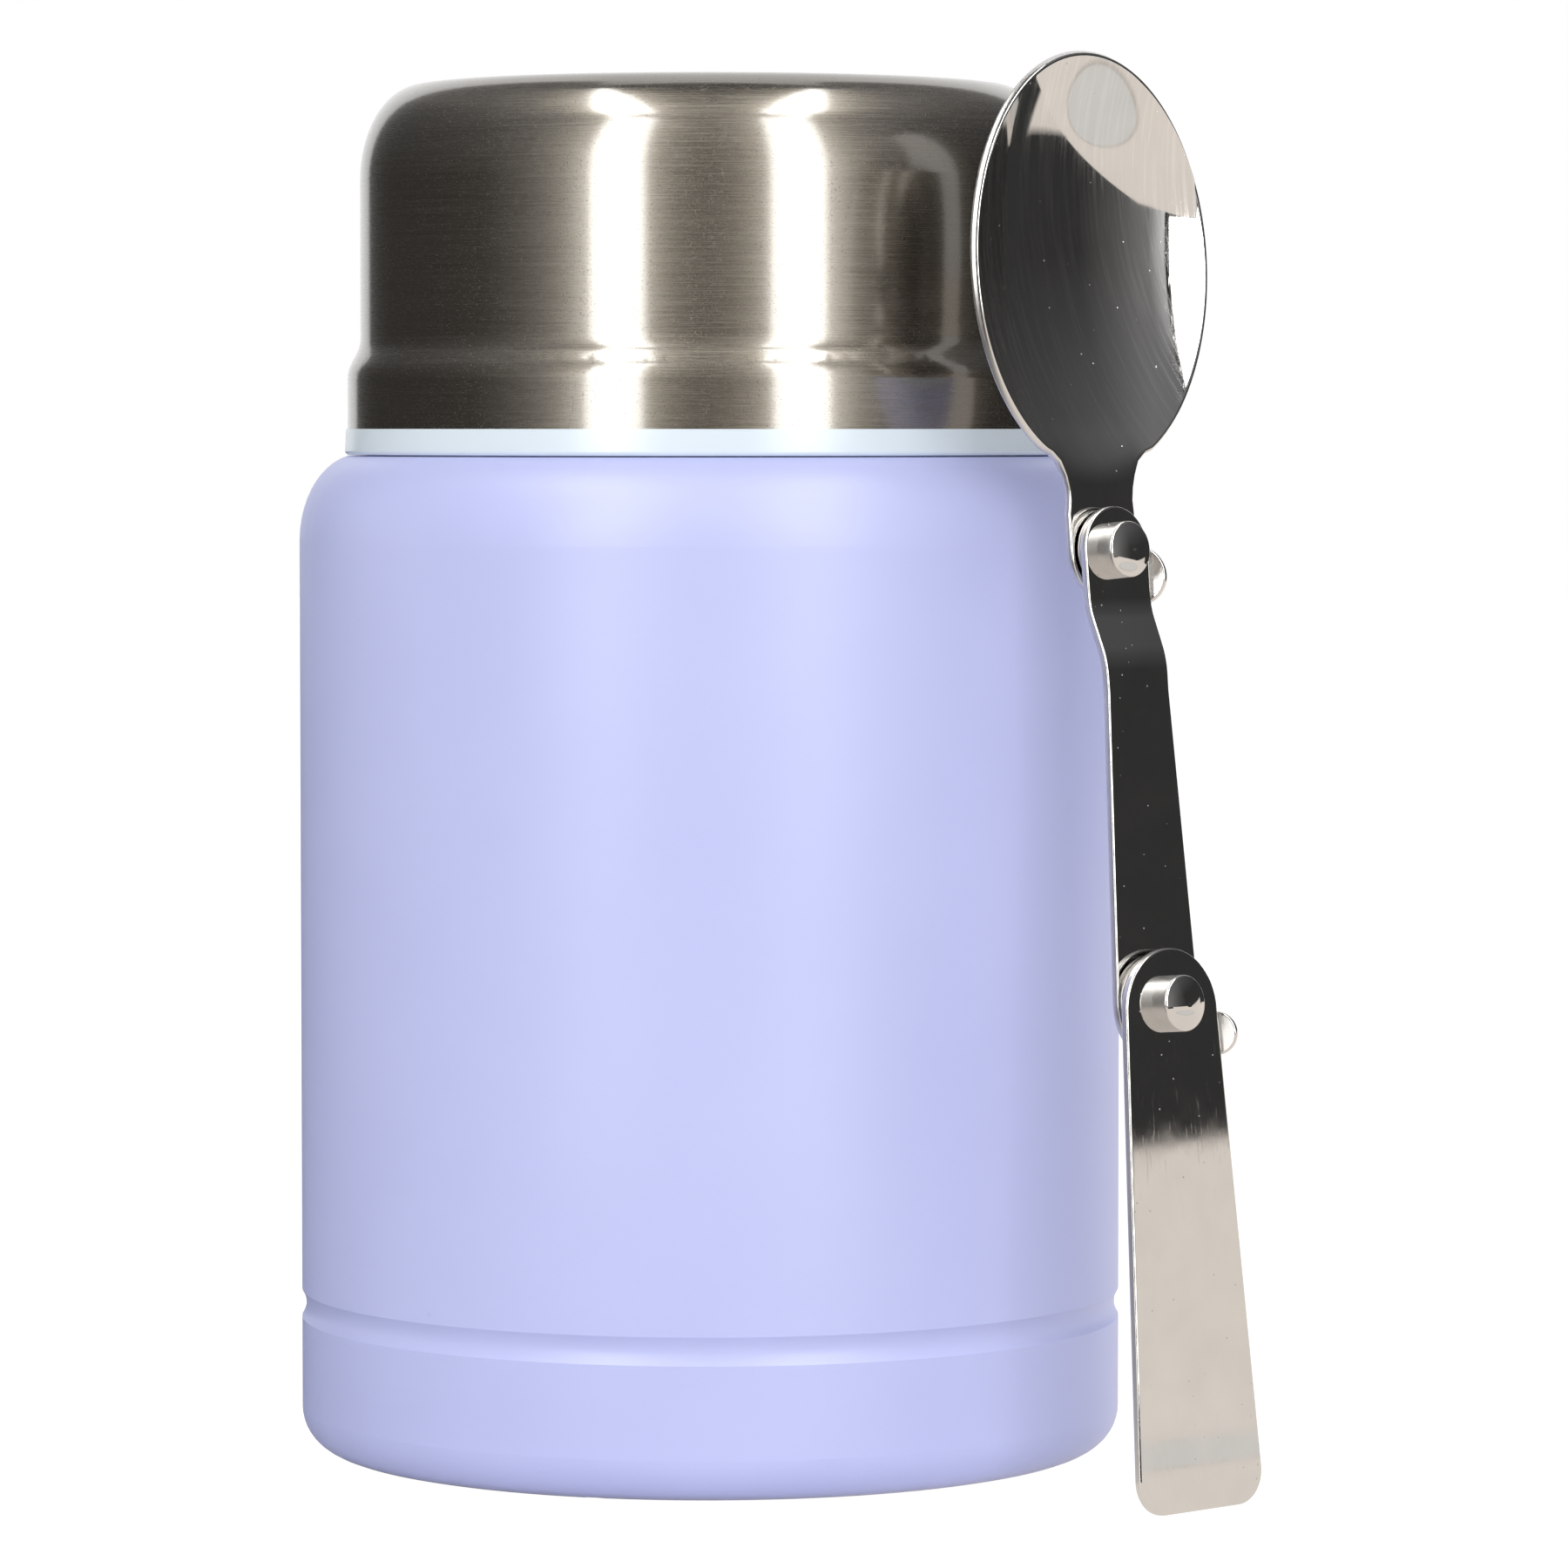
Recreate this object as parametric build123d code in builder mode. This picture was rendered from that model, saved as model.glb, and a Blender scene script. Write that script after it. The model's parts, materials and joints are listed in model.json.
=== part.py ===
from build123d import *
import os
from math import cos, radians, sin

# Insulated food jar with a screw lid, a screw stopper with a vent button, and a folding spoon that
# stands beside it. Millimetres, +Z up, the origin on the jar's axis where it rests on the table.

# Jar body: an outer shell and an inner vessel with a vacuum between them
sheet = 0.5
body_radius = 47.5
foot_fillet = 5.0
foot_inner_radius = 41.0
foot_roll = 0.9
foot_flange_top = 2.6
bead_height = 17.1
bead_half_width = 1.6
bead_depth = 0.5
shoulder_start = 105.4
shoulder_radial = 7.0
shoulder_rise = 10.0
shoulder_end_angle = 78.0
neck_radius = 36.6
neck_root_radius = 1.0
rim_height = 125.8
vessel_radius = 41.2
vessel_floor = 12.8
vessel_floor_corner = 6.0
vessel_neck_start = 108.5
vessel_crown = 3.0
seat_radius = 32.4
seat_top = 114.5
seat_root_radius = 1.5
mouth_radius = 33.4
mouth_lip_radius = 0.9
outer_base_height = 6.0
outer_base_rim = 3.0
evacuation_hole_radius = 1.0
solder_radius = 3.0
solder_drop = 1.0
base_cap_height = 1.8
cap_dish_radius = 28.0
cap_dish_slope = 2.0
cap_dish_rise = 0.8
getter_offset = 16.0
getter_radius = 4.1
getter_height = 2.0
clip_radius = 5.4
clip_height = 1.2
clip_lug_offset = 7.6
clip_lug_length = 6.4
clip_lug_width = 4.0
clip_sheet = 0.4

# Threads: three starts, so one full turn moves the lid or the stopper by one lead
thread_starts = 3
thread_lead = 12.0
thread_phase_gap = 2.0
outer_ridge_height = 118.6
inner_ridge_height = 117.6
neck_ridge_sweep = 110
mouth_ridge_sweep = 90
mating_ridge_sweep = 80
ridge_height = 0.9
ridge_root_width = 1.7
ridge_crest_width = 1.0
ridge_embed = 0.25

# Lid: a steel shell over a plastic liner whose lip is the pale collar under the steel
lid_bottom = 118.3
lid_top = 157.8
lid_band_radius = 41.9
lid_band_top = 124.0
lid_wall_radius = 40.4
lid_wall_start = 128.8
lid_corner_radial = 7.0
lid_corner_rise = 11.0
lid_sheet = 0.5
collar_bottom = 115.5
collar_radius = 42.25
collar_draft = 0.15
collar_edge_round = 0.5
liner_thread_radius = 38.0
liner_ring_radius = 36.75
liner_shelf_radius = 33.4
liner_ring_bottom = 126.2
liner_shelf_bottom = 127.9
liner_shelf_top = 129.6
liner_cone_top = 131.6
liner_step_bottom = 123.4
liner_step_top = 127.6
liner_bore_radius = 37.7
liner_roof = 151.8
liner_wall = 1.5
liner_roof_round = 3.0
lid_foam_radius = 31.0
seal_bottom = 126.1
seal_top = 127.6
seal_inner_radius = 33.7
seal_outer_radius = 36.4
seal_rib = 0.4

# Stopper
plug_bottom = 109.5
plug_radius = 32.1
plug_foot_radius = 30.0
plug_foot_top = 112.5
plug_wall_inner = 28.4
plug_floor = 1.6
plug_lip_radius = 31.2
plug_lip_height = 0.8
boss_radius = 4.2
boss_top = 114.0
gasket_gap = 0.3
gasket_shoulder_radius = 31.6
gasket_lip_height = 111.2
cover_bottom = 126.4
cover_top = 128.0
grip_top = 132.2
grip_radius = 31.9
grip_inner_radius = 28.4
grip_round = 0.5
scallop_count = 16
scallop_radius = 4.0
scallop_offset = 2.6
scallop_floor = 0.8
button_collar_radius = 9.0
button_collar_top = 131.2
well_radius = 6.4
well_inner_radius = 5.2
well_bottom = 118.0
well_floor = 1.0
stem_radius = 1.8
stem_bottom = 107.9
slide_gap = 0.35
button_radius = 6.8
button_bottom = 130.4
button_top = 132.8
button_round = 0.8
vent_seal_bottom = 107.0
vent_seal_top = 109.1
vent_seal_foot_radius = 3.0
vent_seal_radius = 4.6
spring_radius = 3.6
spring_wire = 0.7
spring_turns = 5
spring_end_gap = 0.1

# Folding spoon: u runs across it, v up along it and w out of its face; w = 0 lies behind the neck
spoon_turn = 42.5
spoon_lean = 5.3
spoon_foot = (54.6, -50.25)
plate = 1.0
plate_gap = 0.3
washer_thickness = 0.7
lower_washer_radius = 5.4
upper_washer_radius = 4.6
neck_back = -0.3
link_top_back = 1.7
link_low_back = 3.7
handle_back = 5.7
handle_foot = 0.1
pivot_low = 55.63
pivot_high = 105.78
pivot_radius = 1.5
pivot_clearance = 0.05
rivet_head_radius = 3.1
rivet_head_height = 2.0
rivet_dome = 0.7
rivet_edge_round = 0.35
rivet_tail_radius = 2.75
rivet_tail_height = 0.7
handle_end_radius = 7.1
handle_end_drop = 1.0
handle_foot_half_width = 9.55
handle_corner = 3.8
handle_edge_round = 0.28
link_end_radius = 4.9
link_waist_radius = 4.72
link_waist_height = 90.0
link_foot_radius = 6.35
joggle_top = 99.3
joggle_bottom = 93.4
joggle_bend = 9.0
neck_radius_at_pivot = 5.1
bowl_centre = 137.2
bowl_half_width = 18.4
bowl_half_length = 24.1
bowl_depth = 5.8
bowl_tilt = 1.8
bowl_rim_rise = 0.75
neck_flare_start = 109.8
neck_flare_end = 116.0
neck_flare_half_width = 7.2
tab_bend = 57
tab_lug_overlap = 2.2
upper_tab_side = 4.05
upper_tab_width = 6.6
upper_tab_reach = 1.24
upper_tab_centre = 103.0
lower_tab_side = 6.2
lower_tab_width = 4.86
lower_tab_reach = 2.35
lower_tab_centre = 51.95

os.makedirs("parts", exist_ok=True)


def thread_ridge(root, outward, start_height, sweep_degrees):
    """One rounded thread ridge on a true helix; outward is 1 on a shaft and -1 inside a bore."""
    crest = root + outward * ridge_height
    buried = root - outward * ridge_embed
    with BuildPart() as ridge:
        with BuildLine():
            Helix(
                pitch=thread_lead,
                height=thread_lead * sweep_degrees / 360,
                radius=root,
                center=(0, 0, start_height),
            )
        with BuildSketch(Plane.XZ):
            with BuildLine():
                Polyline(
                    (buried, start_height - ridge_root_width / 2),
                    (root, start_height - ridge_root_width / 2),
                    (crest, start_height - ridge_crest_width / 2),
                    (crest, start_height + ridge_crest_width / 2),
                    (root, start_height + ridge_root_width / 2),
                    (buried, start_height + ridge_root_width / 2),
                    close=True,
                )
            make_face()
        sweep(is_frenet=True)
    return ridge.part


# ---------------------------------------------------------------- jar body

# Outer shell: foot rim, wall with its rolled bead, rounded shoulder, flat ledge and neck
shoulder_end_height = shoulder_start + shoulder_rise * sin(radians(shoulder_end_angle))
neck_ridge = thread_ridge(neck_radius, 1, outer_ridge_height, neck_ridge_sweep)
with BuildPart() as outer_shell:
    with BuildSketch(Plane.XZ):
        with BuildLine():
            flange = Line((foot_inner_radius, foot_flange_top), (foot_inner_radius, foot_roll))
            rolled_foot = RadiusArc(flange @ 1, (foot_inner_radius + foot_roll, 0), -foot_roll)
            foot_ring = Line(rolled_foot @ 1, (body_radius - foot_fillet, 0))
            foot_corner = RadiusArc(foot_ring @ 1, (body_radius, foot_fillet), -foot_fillet)
            low_wall = Line(foot_corner @ 1, (body_radius, bead_height - bead_half_width))
            bead = ThreePointArc(
                low_wall @ 1,
                (body_radius - bead_depth, bead_height),
                (body_radius, bead_height + bead_half_width),
            )
            wall = Line(bead @ 1, (body_radius, shoulder_start))
            shoulder = EllipticalCenterArc(
                (body_radius - shoulder_radial, shoulder_start),
                shoulder_radial,
                shoulder_rise,
                start_angle=0,
                arc_size=shoulder_end_angle,
            )
            ledge = Line(shoulder @ 1, (neck_radius + neck_root_radius, shoulder_end_height))
            neck_start = shoulder_end_height + neck_root_radius
            neck_root = RadiusArc(ledge @ 1, (neck_radius, neck_start), neck_root_radius)
            neck = Line(neck_root @ 1, (neck_radius, rim_height - sheet))
            neck_top = Line(neck @ 1, (neck_radius - sheet, rim_height - sheet))
            inner_neck = Line(neck_top @ 1, (neck_radius - sheet, neck_start))
            inner_root = RadiusArc(
                inner_neck @ 1,
                (neck_radius + neck_root_radius, shoulder_end_height - sheet),
                -neck_root_radius - sheet,
            )
            inner_shoulder = EllipticalCenterArc(
                (body_radius - shoulder_radial, shoulder_start),
                shoulder_radial - sheet,
                shoulder_rise - sheet,
                start_angle=0,
                arc_size=shoulder_end_angle,
            )
            Line(inner_root @ 1, inner_shoulder @ 1)
            inner_radius = body_radius - sheet
            inner_wall = Line(inner_shoulder @ 0, (inner_radius, bead_height + bead_half_width))
            inner_bead = ThreePointArc(
                inner_wall @ 1,
                (inner_radius - bead_depth, bead_height),
                (inner_radius, bead_height - bead_half_width),
            )
            inner_low_wall = Line(inner_bead @ 1, (inner_radius, foot_fillet))
            inner_corner = RadiusArc(
                inner_low_wall @ 1,
                (body_radius - foot_fillet, sheet),
                foot_fillet - sheet,
            )
            inner_ring = Line(inner_corner @ 1, (foot_inner_radius + foot_roll, sheet))
            inner_roll = Line(inner_ring @ 1, (foot_inner_radius + sheet, foot_roll))
            inner_flange = Line(inner_roll @ 1, (foot_inner_radius + sheet, foot_flange_top))
            Line(inner_flange @ 1, flange @ 0)
        make_face()
    revolve(axis=Axis.Z)
    with PolarLocations(0, thread_starts):
        add(neck_ridge)

# Inner vessel: floor, wall, necking-in, sealing seat, mouth and the lip welded over the shell's neck
mouth_ridge = thread_ridge(mouth_radius, -1, inner_ridge_height, mouth_ridge_sweep)
with BuildPart() as inner_vessel:
    with BuildSketch(Plane.XZ):
        with BuildLine():
            floor_line = Line((0, vessel_floor), (vessel_radius - vessel_floor_corner, vessel_floor))
            floor_corner = RadiusArc(
                floor_line @ 1,
                (vessel_radius, vessel_floor + vessel_floor_corner),
                -vessel_floor_corner,
            )
            vessel_wall = Line(floor_corner @ 1, (vessel_radius, vessel_neck_start - vessel_crown))
            crown = RadiusArc(
                vessel_wall @ 1,
                (vessel_radius - vessel_crown, vessel_neck_start),
                -vessel_crown,
            )
            necking = Line(crown @ 1, (seat_radius + seat_root_radius, vessel_neck_start))
            seat_root = RadiusArc(
                necking @ 1,
                (seat_radius, vessel_neck_start + seat_root_radius),
                seat_root_radius,
            )
            seat = Line(seat_root @ 1, (seat_radius, seat_top))
            flare = Line(seat @ 1, (mouth_radius, seat_top + mouth_radius - seat_radius))
            mouth = Line(flare @ 1, (mouth_radius, rim_height - mouth_lip_radius))
            lip = RadiusArc(mouth @ 1, (mouth_radius + mouth_lip_radius, rim_height), mouth_lip_radius)
            Line(lip @ 1, (neck_radius, rim_height))
            offset(amount=sheet, side=Side.RIGHT)
        make_face()
    revolve(axis=Axis.Z)
    with PolarLocations(0, thread_starts):
        add(mouth_ridge)

# Outer base: the cup that closes the vacuum, with the evacuation hole in its middle
outer_base_radius = body_radius - sheet
with BuildPart() as outer_base:
    with BuildSketch(Plane.XY.offset(outer_base_height)):
        Circle(outer_base_radius)
    extrude(amount=outer_base_rim)
    with BuildSketch(Plane.XY.offset(outer_base_height + sheet)):
        Circle(outer_base_radius - sheet)
    extrude(amount=outer_base_rim, mode=Mode.SUBTRACT)
    with BuildSketch(Plane.XY.offset(outer_base_height)):
        Circle(evacuation_hole_radius)
    extrude(amount=sheet, mode=Mode.SUBTRACT)

# Vacuum seal: the solder bead under the evacuation hole
with BuildPart() as vacuum_seal:
    with BuildSketch(Plane.XZ):
        with BuildLine():
            Polyline(
                (0, outer_base_height - solder_drop),
                (solder_radius - solder_drop, outer_base_height - solder_drop),
                (solder_radius, outer_base_height),
                (evacuation_hole_radius, outer_base_height),
                (evacuation_hole_radius, outer_base_height + sheet),
                (0, outer_base_height + sheet),
                close=True,
            )
        make_face()
    revolve(axis=Axis.Z)

# Getter: a pellet that keeps the vacuum, held on the outer base by a spot-welded clip
getter_plane = Plane.XY.offset(outer_base_height + sheet)
with BuildPart() as getter_clip:
    with BuildSketch(getter_plane):
        with Locations((getter_offset, 0)):
            Circle(clip_radius)
            Circle(getter_radius, mode=Mode.SUBTRACT)
    extrude(amount=clip_height)
    with BuildSketch(getter_plane):
        with Locations((getter_offset + clip_lug_offset, 0), (getter_offset - clip_lug_offset, 0)):
            Rectangle(clip_lug_length, clip_lug_width)
        with Locations((getter_offset, 0)):
            Circle((getter_radius + clip_radius) / 2, mode=Mode.SUBTRACT)
    extrude(amount=clip_sheet)

with BuildPart() as getter_pellet:
    with BuildSketch(getter_plane):
        with Locations((getter_offset, 0)):
            Circle(getter_radius)
    extrude(amount=getter_height)
    fillet(getter_pellet.edges().filter_by(GeomType.CIRCLE).sort_by(Axis.Z)[-1], radius=clip_sheet)

# Base cap: the thin cover disc, pressed into the foot rim with a shallow centre dish
with BuildPart() as base_cap:
    with BuildSketch(Plane.XZ):
        with BuildLine():
            Polyline(
                (0, base_cap_height + cap_dish_rise),
                (cap_dish_radius - cap_dish_slope, base_cap_height + cap_dish_rise),
                (cap_dish_radius, base_cap_height),
                (foot_inner_radius, base_cap_height),
                (foot_inner_radius, base_cap_height + sheet),
                (cap_dish_radius, base_cap_height + sheet),
                (cap_dish_radius - cap_dish_slope, base_cap_height + cap_dish_rise + sheet),
                (0, base_cap_height + cap_dish_rise + sheet),
                close=True,
            )
        make_face()
    revolve(axis=Axis.Z)

# ---------------------------------------------------------------- lid

# Steel shell: straight band, soft step, wall and an elliptical top corner
with BuildPart() as lid_shell:
    with BuildSketch(Plane.XZ):
        with BuildLine():
            band = Line((lid_band_radius, lid_bottom), (lid_band_radius, lid_band_top))
            step = Spline(
                (band @ 1, (lid_wall_radius, lid_wall_start)),
                tangents=((0, 1), (0, 1)),
            )
            upper_wall = Line(step @ 1, (lid_wall_radius, lid_top - lid_corner_rise))
            corner = EllipticalCenterArc(
                (lid_wall_radius - lid_corner_radial, lid_top - lid_corner_rise),
                lid_corner_radial,
                lid_corner_rise,
                start_angle=0,
                arc_size=90,
            )
            roof = Line(corner @ 1, (0, lid_top))
            axis_line = Line(roof @ 1, (0, lid_top - lid_sheet))
            inner_corner = EllipticalCenterArc(
                (lid_wall_radius - lid_corner_radial, lid_top - lid_corner_rise),
                lid_corner_radial - lid_sheet,
                lid_corner_rise - lid_sheet,
                start_angle=0,
                arc_size=90,
            )
            Line(axis_line @ 1, inner_corner @ 1)
            inner_upper = Line(inner_corner @ 0, (lid_wall_radius - lid_sheet, lid_wall_start))
            inner_step = Spline(
                (inner_upper @ 1, (lid_band_radius - lid_sheet, lid_band_top)),
                tangents=((0, -1), (0, -1)),
            )
            inner_band = Line(inner_step @ 1, (lid_band_radius - lid_sheet, lid_bottom))
            Line(inner_band @ 1, band @ 0)
        make_face()
    revolve(axis=Axis.Z)

# Liner: collar lip, threaded skirt, seal shelf and the cup that holds the folded spoon
liner_outer_radius = liner_bore_radius + liner_wall
band_inner_radius = lid_band_radius - lid_sheet
liner_ridge = thread_ridge(
    liner_thread_radius, -1, outer_ridge_height - thread_phase_gap, mating_ridge_sweep
)
with BuildPart() as lid_liner:
    with BuildSketch(Plane.XZ):
        with BuildLine():
            Polyline(
                (liner_thread_radius, collar_bottom),
                (collar_radius, collar_bottom),
                (collar_radius - collar_draft, lid_bottom),
                (band_inner_radius, lid_bottom),
                (band_inner_radius, liner_step_bottom),
                (liner_outer_radius, liner_step_top),
                (liner_outer_radius, liner_roof + liner_wall),
                (0, liner_roof + liner_wall),
                (0, liner_roof),
                (liner_bore_radius, liner_roof),
                (liner_bore_radius, liner_cone_top),
                (liner_shelf_radius, liner_shelf_top),
                (liner_shelf_radius, liner_shelf_bottom),
                (liner_ring_radius, liner_shelf_bottom),
                (liner_ring_radius, liner_ring_bottom),
                (liner_thread_radius, liner_ring_bottom),
                close=True,
            )
        make_face()
    revolve(axis=Axis.Z)
    roof_edges = lid_liner.edges().filter_by(GeomType.CIRCLE).group_by(Axis.Z)
    fillet(roof_edges[-1] + roof_edges[-2], radius=liner_roof_round)
    collar_circles = lid_liner.edges().filter_by(GeomType.CIRCLE).group_by(Axis.Z)[0]
    fillet(collar_circles.sort_by(SortBy.RADIUS)[-1], radius=collar_edge_round)
    with PolarLocations(0, thread_starts):
        add(liner_ridge)

# Insulation disc between the liner's roof and the steel
with BuildPart() as lid_foam:
    with BuildSketch(Plane.XY.offset(liner_roof + liner_wall)):
        Circle(lid_foam_radius)
    extrude(amount=lid_top - lid_sheet - liner_roof - liner_wall)

# Lid seal: the silicone ring that closes on the jar's lip, with two sealing ribs
with BuildPart() as lid_seal:
    with BuildSketch(Plane.XZ):
        with BuildLine():
            Polyline(
                (seal_inner_radius, seal_bottom + seal_rib),
                (seal_inner_radius + seal_rib, seal_bottom),
                (seal_inner_radius + 2 * seal_rib, seal_bottom + seal_rib),
                (seal_outer_radius - 2 * seal_rib, seal_bottom + seal_rib),
                (seal_outer_radius - seal_rib, seal_bottom),
                (seal_outer_radius, seal_bottom + seal_rib),
                (seal_outer_radius, seal_top),
                (seal_inner_radius, seal_top),
                close=True,
            )
        make_face()
    revolve(axis=Axis.Z)

# ---------------------------------------------------------------- stopper

# Plug: a cup with a stepped foot for its gasket, a central boss for the vent stem and the thread
plug_ridge = thread_ridge(plug_radius, 1, inner_ridge_height - thread_phase_gap, mating_ridge_sweep)
stem_hole_radius = stem_radius + slide_gap
with BuildPart() as stopper_body:
    with BuildSketch(Plane.XZ):
        with BuildLine():
            Polyline(
                (stem_hole_radius, plug_bottom),
                (plug_lip_radius, plug_bottom),
                (plug_lip_radius, plug_bottom + plug_lip_height),
                (plug_foot_radius, plug_bottom + plug_lip_height),
                (plug_foot_radius, plug_foot_top),
                (plug_radius, plug_foot_top),
                (plug_radius, cover_bottom),
                (plug_wall_inner, cover_bottom),
                (plug_wall_inner, plug_bottom + plug_floor),
                (boss_radius, plug_bottom + plug_floor),
                (boss_radius, boss_top),
                (stem_hole_radius, boss_top),
                close=True,
            )
        make_face()
    revolve(axis=Axis.Z)
    with PolarLocations(0, thread_starts):
        add(plug_ridge)

# Gasket: a lipped silicone ring around the plug's foot
with BuildPart() as stopper_gasket:
    with BuildSketch(Plane.XZ):
        with BuildLine():
            Polyline(
                (plug_foot_radius + gasket_gap, plug_bottom + plug_lip_height + gasket_gap),
                (gasket_shoulder_radius, plug_bottom + plug_lip_height + gasket_gap),
                (plug_radius, gasket_lip_height),
                (gasket_shoulder_radius, plug_foot_top - gasket_gap),
                (plug_foot_radius + gasket_gap, plug_foot_top - gasket_gap),
                close=True,
            )
        make_face()
    revolve(axis=Axis.Z)

# Foam filling of the plug
with BuildPart() as stopper_foam:
    with BuildSketch(Plane.XY.offset(plug_bottom + plug_floor)):
        Circle(plug_wall_inner)
        Circle(well_radius, mode=Mode.SUBTRACT)
    extrude(amount=cover_bottom - plug_bottom - plug_floor)

# Cover: disc, scalloped grip ring, button collar and the spring well that hangs below it
with BuildPart() as stopper_cover:
    with BuildSketch(Plane.XZ):
        with BuildLine():
            Polyline(
                (stem_hole_radius, well_bottom),
                (well_radius, well_bottom),
                (well_radius, cover_bottom),
                (plug_radius, cover_bottom),
                (plug_radius, cover_top),
                (grip_radius, cover_top),
                (grip_radius, grip_top),
                (grip_inner_radius, grip_top),
                (grip_inner_radius, cover_top),
                (button_collar_radius, cover_top),
                (button_collar_radius, button_collar_top),
                (button_radius + slide_gap, button_collar_top),
                (button_radius + slide_gap, cover_top),
                (well_inner_radius, cover_top),
                (well_inner_radius, well_bottom + well_floor),
                (stem_hole_radius, well_bottom + well_floor),
                close=True,
            )
        make_face()
    revolve(axis=Axis.Z)
    with BuildSketch(Plane.XY.offset(grip_top)):
        with PolarLocations(grip_radius + scallop_offset, scallop_count):
            Circle(scallop_radius)
    extrude(amount=cover_top + scallop_floor - grip_top, mode=Mode.SUBTRACT)
    grip_rims = stopper_cover.faces().filter_by(Plane.XY).sort_by(Axis.Z)[-1].edges()
    fillet(grip_rims, radius=grip_round)

# Vent button: a domed cap on a long stem through the stopper
with BuildPart() as vent_button:
    with BuildSketch(Plane.XY.offset(button_bottom)):
        Circle(button_radius)
    extrude(amount=button_top - button_bottom)
    with BuildSketch(Plane.XY.offset(stem_bottom)):
        Circle(stem_radius)
    extrude(amount=button_bottom - stem_bottom)
    fillet(vent_button.edges().filter_by(GeomType.CIRCLE).sort_by(Axis.Z)[-1], radius=button_round)

# Vent seal: the silicone cone on the stem's end, under the plug
with BuildPart() as vent_seal:
    with BuildSketch(Plane.XZ):
        with BuildLine():
            Polyline(
                (0, vent_seal_bottom),
                (vent_seal_foot_radius, vent_seal_bottom),
                (vent_seal_radius, vent_seal_top),
                (stem_radius, vent_seal_top),
                (stem_radius, stem_bottom),
                (0, stem_bottom),
                close=True,
            )
        make_face()
    revolve(axis=Axis.Z)

# Vent spring: a coil between the well's floor and the button
spring_start = well_bottom + well_floor + spring_wire / 2 + spring_end_gap
spring_end = button_bottom - spring_wire / 2 - spring_end_gap
with BuildPart() as vent_spring:
    with BuildLine() as coil:
        Helix(
            pitch=(spring_end - spring_start) / spring_turns,
            height=spring_end - spring_start,
            radius=spring_radius,
            center=(0, 0, spring_start),
        )
    with BuildSketch(Plane(origin=coil.line @ 0, z_dir=coil.line % 0)):
        Circle(spring_wire / 2)
    sweep(is_frenet=True)

# ---------------------------------------------------------------- folding spoon

facing = Vector(sin(radians(spoon_turn)), -cos(radians(spoon_turn)), 0)
across = Vector(cos(radians(spoon_turn)), sin(radians(spoon_turn)), 0)
up = Vector(0, 0, 1)
spoon_normal = facing * cos(radians(spoon_lean)) + up * sin(radians(spoon_lean))
handle_front = handle_back + plate
spoon_origin = Vector(*spoon_foot, 0) - spoon_normal * handle_front
spoon_plane = Plane(origin=spoon_origin, x_dir=across, z_dir=spoon_normal)
spoon_axis = Axis(spoon_origin, spoon_normal)
# The side plane has v to the right and w up, with its normal across the spoon
side_plane = Plane(origin=spoon_origin, x_dir=spoon_plane.y_dir, z_dir=across)


def pivot_plane(height, w):
    return Plane(origin=spoon_plane.from_local_coords((0, height, w)), x_dir=across, z_dir=spoon_normal)


def stop_tab(side, centre, width, back, reach):
    """A stop tab bent forward from a plate's edge: a leaning strip that ends in a half round."""
    lean = radians(tab_bend)
    tab_plane = Plane(
        origin=spoon_plane.from_local_coords((side, centre, back)),
        x_dir=spoon_plane.y_dir,
        z_dir=across * sin(lean) - spoon_normal * cos(lean),
    )
    with BuildPart() as tab:
        with BuildSketch(tab_plane):
            with Locations((0, reach / 2)):
                Rectangle(width, reach)
            with Locations((0, reach)):
                Circle(width / 2)
        extrude(amount=plate)
        split(bisect_by=spoon_plane.offset(back), keep=Keep.TOP)
    return tab.part


# Handle: the front plate, widening towards its rounded foot
with BuildPart() as spoon_handle:
    with BuildSketch(spoon_plane.offset(handle_back)):
        corner_shift = handle_foot_half_width - handle_corner
        with Locations((0, pivot_low - handle_end_drop)):
            Circle(handle_end_radius)
        with Locations(
            (-corner_shift, handle_foot + handle_corner),
            (corner_shift, handle_foot + handle_corner),
        ):
            Circle(handle_corner)
        make_hull()
        with Locations((0, pivot_low)):
            Circle(pivot_radius, mode=Mode.SUBTRACT)
    extrude(amount=plate)
    rims = spoon_handle.faces().sort_by(spoon_axis)
    fillet(rims[0].outer_wire().edges() + rims[-1].outer_wire().edges(), radius=handle_edge_round)

# Link: the middle plate, joggled forward so that the folded bowl clears the lower rivet
with BuildSketch() as link_upper_outline:
    with Locations((0, pivot_high)):
        Circle(link_end_radius)
    with Locations((0, link_waist_height)):
        Circle(link_waist_radius)
    make_hull()

with BuildSketch() as link_lower_outline:
    with Locations((0, link_waist_height)):
        Circle(link_waist_radius)
    with Locations((0, pivot_low)):
        Circle(link_foot_radius)
    make_hull()

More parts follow.
